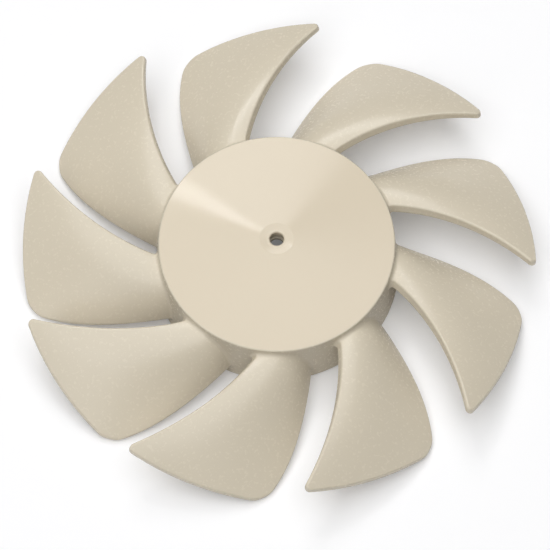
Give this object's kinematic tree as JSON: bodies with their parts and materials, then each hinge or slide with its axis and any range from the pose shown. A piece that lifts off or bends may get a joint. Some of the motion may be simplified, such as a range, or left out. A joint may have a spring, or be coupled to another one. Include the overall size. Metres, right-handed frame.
{
  "type": "axial fan impeller",
  "caption": "One-piece moulded axial fan impeller: closed, slightly conical hub with swept blades and a shaft bore.",
  "frame": {"origin": "centre of the shaft bore at its mouth on the motor side", "axes": "+Z along the shaft axis, out through the closed front of the hub; +Y towards the first blade"},
  "size_m": [0.109, 0.1091, 0.0156],
  "materials": {
    "beige_plastic": "satin moulded plastic"
  },
  "bodies": {
    "root": {"impeller": "beige_plastic"}
  },
  "joints": []
}
